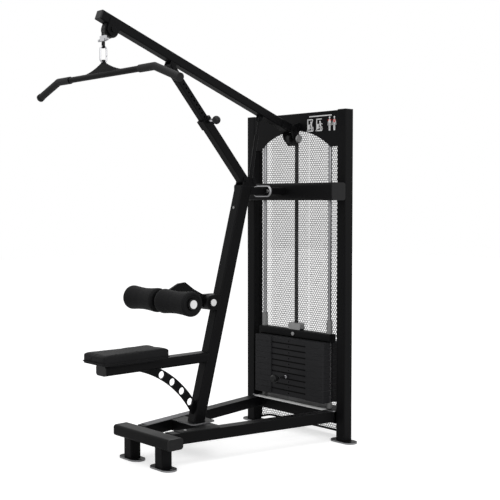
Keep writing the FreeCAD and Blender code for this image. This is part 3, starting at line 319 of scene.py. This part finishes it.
# ---------------------------------------------------------------- plates with bare edges
# The foot plates, the shelf and the flange pair of the link are cut from plate:
# their faces are coated black and their cut edges stay bright.
def bare_edged(name, flat_axis, lowest=None, highest=None):
    """Black coat on the flat faces and bare steel on the cut edges.

    With limits, only what lies between them across the flat axis is bare."""
    finish = black_coat.copy()
    finish.name = name
    net = finish.node_tree
    coat = net.nodes["Principled BSDF"]
    steel = net.nodes.new("ShaderNodeBsdfPrincipled")
    steel.inputs["Metallic"].default_value = 1.0
    steel.inputs["Base Color"].default_value = (0.34, 0.34, 0.35, 1.0)
    steel.inputs["Roughness"].default_value = 0.42
    spot = net.nodes.new("ShaderNodeTexCoord")
    mill = noise(net, spot, 260.0, 2.0)
    raise_grain(net, steel, mill.outputs["Fac"], 0.2, 0.0004)
    dull(net, steel, mill.outputs["Fac"], 0.3, 0.7, 0.34, 0.5)
    normal = net.nodes.new("ShaderNodeSeparateXYZ")
    net.links.new(spot.outputs["Normal"], normal.inputs[0])
    size = net.nodes.new("ShaderNodeMath")
    size.operation = "ABSOLUTE"
    net.links.new(normal.outputs[flat_axis], size.inputs[0])
    factor = spread(net, size.outputs[0], 0.76, 0.86, 1.0, 0.0)
    if lowest is not None:
        where = net.nodes.new("ShaderNodeSeparateXYZ")
        net.links.new(spot.outputs["Object"], where.inputs[0])
        above = net.nodes.new("ShaderNodeMath")
        above.operation = "GREATER_THAN"
        above.inputs[1].default_value = lowest
        below = net.nodes.new("ShaderNodeMath")
        below.operation = "LESS_THAN"
        below.inputs[1].default_value = highest
        inside = net.nodes.new("ShaderNodeMath")
        inside.operation = "MULTIPLY"
        only = net.nodes.new("ShaderNodeMath")
        only.operation = "MULTIPLY"
        net.links.new(where.outputs[flat_axis], above.inputs[0])
        net.links.new(where.outputs[flat_axis], below.inputs[0])
        net.links.new(above.outputs[0], inside.inputs[0])
        net.links.new(below.outputs[0], inside.inputs[1])
        net.links.new(inside.outputs[0], only.inputs[0])
        net.links.new(factor, only.inputs[1])
        factor = only.outputs[0]
    join = net.nodes.new("ShaderNodeMixShader")
    out = next(n for n in net.nodes if n.type == "OUTPUT_MATERIAL")
    net.links.new(factor, join.inputs[0])
    net.links.new(coat.outputs[0], join.inputs[1])
    net.links.new(steel.outputs[0], join.inputs[2])
    net.links.new(join.outputs[0], out.inputs["Surface"])
    return finish


TOWER_Y = 0.589
FLANGE_AHEAD = 0.241
flange_y = TOWER_Y - FLANGE_AHEAD
sole_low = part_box("base_beams")[1].z
dress(bare_edged("plate_with_bare_edge", "Z"), "foot_plates", "stack_shelf")
dress(bare_edged("sole_with_bare_edge", "Z", sole_low - 0.001, sole_low + 0.0065),
      "post_brackets")
dress(bare_edged("flange_with_bare_edge", "Y", flange_y - 0.0005, flange_y + 0.0085),
      "post_link")

# ---------------------------------------------------------------- rear guard
# A thin steel sheet with close hexagonal holes, folded to a U round the back of
# the stack and coated black. One web of hexagons is repeated and then folded.
PITCH = 0.0136
WEB = 0.0032
ROW = PITCH * math.sqrt(3.0) / 2.0
BEND_R = 0.024
BORDER = 0.012
SHEET = 0.0014
EDGE_WIDE = 0.018
EDGE_THICK = 0.0016
guard_low, guard_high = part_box("rear_guard")
back_y = guard_high.y - 0.001
side_x = guard_high.x - 0.001
flat_half = side_x - BEND_R
bend_length = BEND_R * math.pi / 2.0
wing = back_y - BEND_R - guard_low.y
half_sheet = flat_half + bend_length + wing
columns = int(half_sheet / PITCH)
rows = int((guard_high.z - guard_low.z - 0.02) / (2.0 * ROW))


CENTRE = (0.0, 0.0, 0.0)


def edit(select=True):
    """Go into edit mode, with everything selected or nothing."""
    bpy.ops.object.mode_set(mode="EDIT")
    bpy.ops.mesh.select_all(action="SELECT" if select else "DESELECT")


def leave():
    """Back to object mode."""
    bpy.ops.object.mode_set(mode="OBJECT")


def lay(modifier_type, name, **values):
    """Add a modifier to the active piece and apply it."""
    piece = bpy.context.object
    modifier = piece.modifiers.new(name, modifier_type)
    for key, value in values.items():
        setattr(modifier, key, value)
    bpy.ops.object.modifier_apply(modifier=modifier.name)


def folded(s, side):
    """Where a point at s along the flat sheet lies once the sheet is folded."""
    if s <= flat_half:
        return side * s, back_y
    turn = (s - flat_half) / BEND_R
    if turn <= math.pi / 2.0:
        x = flat_half + BEND_R * math.sin(turn)
        return side * x, back_y - BEND_R * (1.0 - math.cos(turn))
    return side * side_x, back_y - BEND_R - (s - flat_half - bend_length)


def repeat(name, count, step, **values):
    """Repeat the active piece by a step and apply it."""
    lay("ARRAY", name, count=count, use_relative_offset=False, use_constant_offset=True,
        constant_offset_displace=step, **values)


def fix(piece, finish, body):
    """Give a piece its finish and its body."""
    piece.data.materials.append(finish)
    if body:
        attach(piece, body)


# The sheet's second colour is a painted highlight along its edges.
guard_coat = coated("guard_coat", (0.004, 0.004, 0.0045), (0.02, 0.02, 0.022),
                    0.5, 700.0, 0.05)
for side, word in ((-1.0, "left"), (1.0, "right")):
    bpy.ops.object.select_all(action="DESELECT")
    bpy.ops.mesh.primitive_circle_add(vertices=6, radius=PITCH / math.sqrt(3.0),
                                      fill_type="NGON")
    web = bpy.context.object
    web.name = "guard_mesh_" + word
    edit()
    bpy.ops.transform.rotate(value=math.pi / 6.0, orient_axis="Z", center_override=CENTRE)
    bpy.ops.mesh.inset(thickness=WEB / 2.0)
    bpy.ops.mesh.delete(type="FACE")
    leave()
    repeat("pair", 2, (PITCH / 2.0, ROW, 0.0))
    repeat("along", columns, (PITCH, 0.0, 0.0))
    repeat("up", rows, (0.0, 2.0 * ROW, 0.0))
    edit()
    bpy.ops.mesh.remove_doubles(threshold=0.0001)
    leave()
    for point in web.data.vertices:
        x, y = folded(max(point.co.x + PITCH / 4.0, 0.0), side)
        point.co = (x, y, guard_low.z + BORDER + point.co.y)
    lay("SOLIDIFY", "sheet", thickness=SHEET, offset=0.0)
    edit()
    bpy.ops.mesh.normals_make_consistent(inside=False)
    leave()
    fix(web, guard_coat, "frame")
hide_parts("rear_guard")

# Plain borders of the same sheet along its top, its bottom and its two front edges.
for level, word in ((guard_low.z, "bottom"), (guard_high.z - BORDER, "top")):
    bpy.ops.object.select_all(action="DESELECT")
    bpy.ops.mesh.primitive_grid_add(x_subdivisions=80, y_subdivisions=1, size=1.0)
    strip = bpy.context.object
    strip.name = "guard_border_" + word
    for point in strip.data.vertices:
        s = point.co.x * 2.0 * half_sheet
        x, y = folded(abs(s), 1.0 if s > 0 else -1.0)
        point.co = (x, y, level + (point.co.y + 0.5) * BORDER)
    lay("SOLIDIFY", "sheet", thickness=EDGE_THICK, offset=0.0)
    fix(strip, guard_coat, "frame")
for side, word in ((-1.0, "left"), (1.0, "right")):
    bpy.ops.object.select_all(action="DESELECT")
    bpy.ops.mesh.primitive_cube_add(size=1.0)
    strip = bpy.context.object
    strip.name = "guard_edge_" + word
    edit()
    bpy.ops.transform.resize(value=(EDGE_THICK, EDGE_WIDE, guard_high.z - guard_low.z),
                             center_override=CENTRE)
    bpy.ops.transform.translate(value=(side * side_x, guard_low.y + 0.010,
                                       (guard_high.z + guard_low.z) / 2.0))
    bpy.ops.mesh.bevel(offset=0.0004, segments=1)
    leave()
    fix(strip, guard_coat, "frame")

# ---------------------------------------------------------------- belt
# One flat belt of black rubber over cords, 26 mm wide, ribbed across its width.
# The two hanging runs are their own ribbed bands.
belt_rubber, net, shader, place = new_finish("ribbed_belt")
ribs = net.nodes.new("ShaderNodeTexWave")
ribs.bands_direction = "Z"
ribs.inputs["Scale"].default_value = 19.6
net.links.new(place.outputs["Object"], ribs.inputs["Vector"])
scuffs = noise(net, place, 160.0, 3.0)
tone = net.nodes.new("ShaderNodeMath")
tone.operation = "MULTIPLY"
net.links.new(ribs.outputs["Fac"], tone.inputs[0])
net.links.new(scuffs.outputs["Fac"], tone.inputs[1])
tint(net, shader, tone.outputs[0], (0.004, 0.004, 0.0043), (0.05, 0.05, 0.052))
dull(net, shader, scuffs.outputs["Fac"], 0.3, 0.7, 0.5, 0.68)
shader.inputs["Specular IOR Level"].default_value = 0.25
raise_grain(net, shader, scuffs.outputs["Fac"], 0.25, 0.0004)
dress(belt_rubber, "belt_rear_wrap", "belt_boom_run")


def pick(test):
    """Select the points of the active mesh that pass a test, and edit them."""
    leave()
    piece = bpy.context.object
    for part in (piece.data.vertices, piece.data.edges, piece.data.polygons):
        for item in part:
            item.select = False
    for point in piece.data.vertices:
        point.select = test(point.co)
    bpy.ops.object.mode_set(mode="EDIT")
    bpy.ops.mesh.select_mode(type="VERT")


def block(name, low, high, finish, body, bevel=0.0, segments=2):
    """A box between two corners, with soft edges, that rides on a body."""
    bpy.ops.object.select_all(action="DESELECT")
    bpy.ops.mesh.primitive_cube_add(size=1.0)
    piece = bpy.context.object
    piece.name = name
    size = Vector(high) - Vector(low)
    middle = (Vector(high) + Vector(low)) / 2.0
    edit()
    bpy.ops.transform.resize(value=size, center_override=CENTRE)
    bpy.ops.transform.translate(value=middle)
    if bevel > 0.0:
        bpy.ops.mesh.bevel(offset=bevel, segments=segments)
    leave()
    fix(piece, finish, body)
    return piece


RIB = 0.008
HALF_BELT = 0.0015
MERGE = 0.0002
for name, child, parent in (("belt_rear_drop", "carriage", "frame"),
                            ("belt_front_drop", "belt_end", "boom")):
    low_at, high_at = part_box(name)
    count = max(2, round((high_at.z - low_at.z) / RIB))
    step = (high_at.z - low_at.z) / count
    mid_y = (low_at.y + high_at.y) / 2.0
    band = block(name + "_ribs", (low_at.x, mid_y - HALF_BELT, low_at.z),
                 (high_at.x, mid_y + HALF_BELT, low_at.z + step), belt_rubber, None)
    edit()
    for level in (0.22, 0.78):
        bpy.ops.mesh.select_all(action="SELECT")
        bpy.ops.mesh.bisect(plane_co=(0.0, 0.0, low_at.z + step * level),
                            plane_no=(0.0, 0.0, 1.0))
    for level in (0.0, 1.0):
        pick(lambda co: abs(co.z - low_at.z - step * level) < 0.0001)
        bpy.ops.transform.resize(value=(1.0, 0.55, 1.0),
                                 center_override=(0.0, mid_y, low_at.z))
    for level in (0.0, 1.0):
        pick(lambda co: abs(co.z - low_at.z - step * level) < 0.0001)
        bpy.ops.mesh.select_mode(type="FACE")
        bpy.ops.mesh.delete(type="ONLY_FACE")
    leave()
    repeat("ribs", count, (0.0, 0.0, step), use_merge_vertices=True, merge_threshold=MERGE)
    for level in (low_at.z, high_at.z):
        pick(lambda co: abs(co.z - level) < MERGE)
        bpy.ops.mesh.edge_face_add()
    edit()
    bpy.ops.mesh.normals_make_consistent(inside=False)
    leave()
    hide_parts(name)
    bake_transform(band)

# ---------------------------------------------------------------- seat
# A board upholstered in black vinyl over firm foam: slightly crowned, soft
# edges, a welt sewn round the lower edge of its sides, on a steel plate.
vinyl, net, shader, place = new_finish("seat_vinyl")
cloudy = noise(net, place, 7.0, 3.0)
pores = net.nodes.new("ShaderNodeTexVoronoi")
pores.inputs["Scale"].default_value = 620.0
net.links.new(place.outputs["Object"], pores.inputs["Vector"])
tint(net, shader, cloudy.outputs["Fac"], (0.0062, 0.0062, 0.0068), (0.0095, 0.0095, 0.0102))
dull(net, shader, pores.outputs["Distance"], 0.0, 0.8, 0.50, 0.62)
shader.inputs["Specular IOR Level"].default_value = 0.1
raise_grain(net, shader, pores.outputs["Distance"], 0.25, 0.0004)
STEPS = 20


def swell(piece, pressure, reach, free=None):
    """Let a soft form swell under its cover, no point moving further than reach."""
    start = [point.co.copy() for point in piece.data.vertices]
    puff = piece.modifiers.new("cover", "CLOTH")
    puff.settings.quality = 5
    puff.settings.mass = 0.3
    puff.settings.tension_stiffness = 25.0
    puff.settings.compression_stiffness = 25.0
    puff.settings.bending_stiffness = 2.0
    puff.settings.use_pressure = True
    puff.settings.uniform_pressure_force = pressure
    puff.settings.effector_weights.gravity = 0.0
    bpy.context.scene.frame_start = 1
    bpy.context.scene.frame_end = STEPS
    for step in range(1, STEPS + 1):
        bpy.context.scene.frame_set(step)
    shaped = piece.evaluated_get(bpy.context.evaluated_depsgraph_get())
    moved = [point.co.copy() for point in shaped.data.vertices]
    piece.modifiers.remove(puff)
    bpy.context.scene.frame_set(1)
    for point, was, now in zip(piece.data.vertices, start, moved):
        shift = now - was
        if shift.length > reach:
            shift = shift * (reach / shift.length)
        point.co = was + shift if free is None or free(was) else was


seat_low, seat_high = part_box("seat_pad")
PUFF = 0.0018
VOXEL = 0.005
WELT_INSET = 0.004
WELT_RADIUS = 0.0022
cushion = block("seat_cushion", (seat_low.x + PUFF, seat_low.y + PUFF, seat_low.z),
                (seat_high.x - PUFF, seat_high.y - PUFF, seat_high.z - PUFF), vinyl, None)
edit(False)
bpy.ops.mesh.select_mode(type="EDGE")
leave()
for edge in cushion.data.edges:
    ends = [cushion.data.vertices[i].co for i in edge.vertices]
    edge.select = abs(ends[0].z - ends[1].z) > 0.01
bpy.ops.object.mode_set(mode="EDIT")
bpy.ops.mesh.bevel(offset=0.014, segments=5)
leave()
for edge in cushion.data.edges:
    edge.select = all(cushion.data.vertices[i].co.z > seat_high.z - PUFF - 0.0005
                      for i in edge.vertices)
bpy.ops.object.mode_set(mode="EDIT")
bpy.ops.mesh.bevel(offset=0.006, segments=3)
leave()
lay("REMESH", "even", mode="VOXEL", voxel_size=VOXEL)
swell(cushion, 4.0, 0.005, lambda at: at.z > seat_low.z + 0.004)
lay("SUBSURF", "smooth", levels=1, render_levels=1)
bpy.ops.object.shade_smooth()
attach(cushion, "frame")
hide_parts("seat_pad")

bpy.ops.object.select_all(action="DESELECT")
bpy.ops.mesh.primitive_plane_add(size=1.0)
welt = bpy.context.object
welt.name = "seat_welt"
edit()
bpy.ops.transform.resize(value=(seat_high.x - seat_low.x - WELT_INSET,
                                seat_high.y - seat_low.y - WELT_INSET, 1.0),
                         center_override=CENTRE)
bpy.ops.transform.translate(value=((seat_low.x + seat_high.x) / 2.0,
                                   (seat_low.y + seat_high.y) / 2.0, seat_low.z + 0.010))
bpy.ops.mesh.bevel(offset=0.016, segments=8, affect="VERTICES")
bpy.ops.mesh.delete(type="ONLY_FACE")
leave()
bpy.ops.object.convert(target="CURVE")
welt.data.bevel_depth = WELT_RADIUS
welt.data.bevel_resolution = 2
bpy.ops.object.convert(target="MESH")
bpy.ops.object.shade_smooth()
welt.data.materials.clear()
fix(welt, vinyl, "frame")

# ---------------------------------------------------------------- thigh rollers
# Two rollers of moulded soft foam with a tight skin, waisted in the middle, each
# pressed on a plastic sleeve whose light cap shows in the end.
for word in ("left", "right"):
    source = node["roller_foam_" + word]
    bpy.ops.object.select_all(action="DESELECT")
    roller = source.copy()
    roller.data = source.data.copy()
    roller.parent = None
    roller.name = "foam_roller_" + word
    bpy.context.scene.collection.objects.link(roller)
    roller.matrix_world = Matrix.Identity(4)
    for key in list(roller.keys()):
        del roller[key]
    roller.hide_render = False
    bpy.context.view_layer.objects.active = roller
    roller.select_set(True)
    edit()
    bpy.ops.mesh.remove_doubles(threshold=0.00005)
    leave()
    lay("REMESH", "even", mode="VOXEL", voxel_size=VOXEL)
    swell(roller, 2.0, 0.0015)
    lay("SUBSURF", "smooth", levels=1, render_levels=1)
    bpy.ops.object.shade_smooth()
    roller.data.materials.clear()
    fix(roller, foam_skin, "roller_" + word)
    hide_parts("roller_foam_" + word)

# ---------------------------------------------------------------- stack trim
# The plates' front faces are dished between two ribs; dark strips laid in the joints
# there are painted shadow. A bright collar guides the pin; the stack rests clear of the shelf.
shadow_gap, net, shader, place = new_finish("joint_shadow")
# The noise only mottles the darkness of the painted shadow.
shadow_mottle = noise(net, place, 220.0, 2.0)
tint(net, shader, shadow_mottle.outputs["Fac"], (0.0012, 0.0012, 0.0012), (0.004, 0.004, 0.004))
dull(net, shader, shadow_mottle.outputs["Fac"], 0.3, 0.7, 0.7, 0.9)
shader.inputs["Specular IOR Level"].default_value = 0.05
raise_grain(net, shader, shadow_mottle.outputs["Fac"], 0.1, 0.0002)
lifted_low, lifted_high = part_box("plates_lifted")
resting_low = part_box("plates_resting")[0]
PLATE_PITCH = 0.0321
BAND = 0.134
DISH = 0.007
joint_z = lifted_high.z - PLATE_PITCH
number = 1
# Each strip is painted shadow in the gap of one joint.
while joint_z > resting_low.z + 0.01:
    owner = "carriage" if joint_z > lifted_low.z - 0.002 else "frame"
    block("painted_joint_shadow_" + str(number), (-BAND, lifted_low.y + DISH - 0.0006, joint_z - 0.0036),
          (BAND, lifted_low.y + DISH + 0.0010, joint_z + 0.0030), shadow_gap, owner)
    joint_z -= PLATE_PITCH
    number += 1
pin_low, pin_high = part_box("selector_pin")
bpy.ops.object.select_all(action="DESELECT")
bpy.ops.mesh.primitive_cylinder_add(vertices=32, radius=0.0085, depth=0.016)
collar = bpy.context.object
collar.name = "pin_collar"
edit()
bpy.ops.transform.rotate(value=math.pi / 2.0, orient_axis="X", center_override=CENTRE)
bpy.ops.transform.translate(value=((pin_low.x + pin_high.x) / 2.0, lifted_low.y - 0.0095,
                                   (pin_low.z + pin_high.z) / 2.0))
bpy.ops.mesh.bevel(offset=0.0012, segments=2)
leave()
fix(collar, chrome, "selector")
shelf_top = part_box("stack_shelf")[1].z
LINER_HALF = 0.262
block("shelf_liner", (-LINER_HALF, resting_low.y - 0.006, shelf_top + 0.0002),
      (LINER_HALF, resting_low.y + 0.03, shelf_top + 0.0030),
      cap_white, "frame", 0.0003, 1)

# ---------------------------------------------------------------- pivot cap
# A pale moulded cap is snapped over each end of the roller arm's pivot bolt,
# outside the bosses on the post.
CAP_X = 0.049
PIVOT_Y = TOWER_Y - 0.612
PIVOT_Z = 0.758
for side, word in ((-1.0, "left"), (1.0, "right")):
    bpy.ops.object.select_all(action="DESELECT")
    bpy.ops.mesh.primitive_cylinder_add(vertices=40, radius=0.0175, depth=0.006)
    cap = bpy.context.object
    cap.name = "pivot_cap_" + word
    edit()
    bpy.ops.transform.rotate(value=math.pi / 2.0, orient_axis="Y", center_override=CENTRE)
    bpy.ops.transform.translate(value=(side * CAP_X, PIVOT_Y, PIVOT_Z))
    bpy.ops.mesh.bevel(offset=0.0015, segments=2)
    leave()
    fix(cap, cap_white, "frame")

# ---------------------------------------------------------------- header marks
# Printed film on the header: a thin rule, two sketches of a machine in use and
# a front and a back view of a figure with the worked muscles in red.
def print_ink(name, colour):
    """Printed ink with a faint grain."""
    finish, net, shader, place = new_finish(name)
    speck = noise(net, place, 500.0, 2.0)
    tint(net, shader, speck.outputs["Fac"], shade(colour, 0.93), colour)
    dull(net, shader, speck.outputs["Fac"], 0.3, 0.7, 0.4, 0.5)
    shader.inputs["Specular IOR Level"].default_value = 0.2
    raise_grain(net, shader, speck.outputs["Fac"], 0.05, 0.0002)
    return finish


white_ink = print_ink("white_ink", (0.72, 0.72, 0.72))
red_ink = print_ink("red_ink", (0.55, 0.06, 0.05))
sign_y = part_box("mid_crossbeam")[1].y + 0.002


def mark(name, finish, x, z, wide, tall, lean=0.0):
    """One flat printed bar on the header, centred at x, z and leaned about Y."""
    piece = block(name, (x - wide / 2.0, sign_y - 0.0004, z - tall / 2.0),
                  (x + wide / 2.0, sign_y + 0.0002, z + tall / 2.0), finish, None)
    if lean:
        edit()
        bpy.ops.transform.rotate(value=math.radians(lean), orient_axis="Y",
                                 center_override=(x, sign_y, z))
        leave()
    return piece


def disc_mark(name, finish, x, z, radius):
    """One round printed dot on the header."""
    bpy.ops.object.select_all(action="DESELECT")
    bpy.ops.mesh.primitive_cylinder_add(vertices=24, radius=radius, depth=0.0006)
    piece = bpy.context.object
    piece.name = name
    edit()
    bpy.ops.transform.rotate(value=math.pi / 2.0, orient_axis="X", center_override=CENTRE)
    bpy.ops.transform.translate(value=(x, sign_y - 0.0001, z))
    leave()
    fix(piece, finish, None)
    return piece


def gather(name, pieces):
    """Join printed shapes into one piece on the frame."""
    bpy.ops.object.select_all(action="DESELECT")
    for piece in pieces:
        piece.select_set(True)
    bpy.context.view_layer.objects.active = pieces[0]
    bpy.ops.object.join()
    pieces[0].name = name
    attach(pieces[0], "frame")


rule = mark("header_rule", white_ink, 0.196, 1.7165, 0.164, 0.0055)
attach(rule, "frame")
for n, x in enumerate((0.120, 0.186)):
    sketch = [mark("s", white_ink, x - 0.016, 1.670, 0.006, 0.066),
              mark("s", white_ink, x, 1.640, 0.046, 0.006),
              mark("s", white_ink, x + 0.002, 1.700, 0.036, 0.005),
              mark("s", white_ink, x - 0.008, 1.662, 0.014, 0.026),
              mark("s", white_ink, x + 0.012, 1.655, 0.022, 0.005),
              mark("s", white_ink, x + 0.012, 1.648, 0.006, 0.014),
              mark("s", white_ink, x + 0.010, 1.669, 0.010, 0.024, 12.0),
              mark("s", white_ink, x + 0.018, 1.659, 0.014, 0.005),
              mark("s", white_ink, x + 0.023, 1.650, 0.005, 0.018),
              disc_mark("s", white_ink, x + 0.008, 1.686, 0.0052)]
    if n == 0:
        sketch.append(mark("s", white_ink, x + 0.017, 1.689, 0.004, 0.024, -20.0))
    else:
        sketch.append(mark("s", white_ink, x + 0.018, 1.676, 0.016, 0.004, -25.0))
    gather("machine_sketch_" + str(n + 1), sketch)
for n, x in enumerate((0.263, 0.297)):
    figure = [disc_mark("f", white_ink, x, 1.7045, 0.0052),
              mark("f", white_ink, x, 1.6965, 0.004, 0.006),
              mark("f", white_ink, x, 1.684, 0.0120, 0.021),
              mark("f", white_ink, x, 1.671, 0.010, 0.010),
              mark("f", white_ink, x - 0.0034, 1.652, 0.0048, 0.032, 2.0),
              mark("f", white_ink, x + 0.0034, 1.652, 0.0048, 0.032, -2.0),
              mark("f", white_ink, x - 0.0092, 1.679, 0.0034, 0.030, -9.0),
              mark("f", white_ink, x + 0.0092, 1.679, 0.0034, 0.030, 9.0)]
    gather("body_figure_" + str(n + 1), figure)
sign_y -= 0.0004
worked = [mark("w", red_ink, 0.2545, 1.691, 0.005, 0.009),
          mark("w", red_ink, 0.2715, 1.691, 0.005, 0.009),
          mark("w", red_ink, 0.2925, 1.686, 0.0065, 0.015, 12.0),
          mark("w", red_ink, 0.3015, 1.686, 0.0065, 0.015, -12.0)]
gather("worked_muscles", worked)
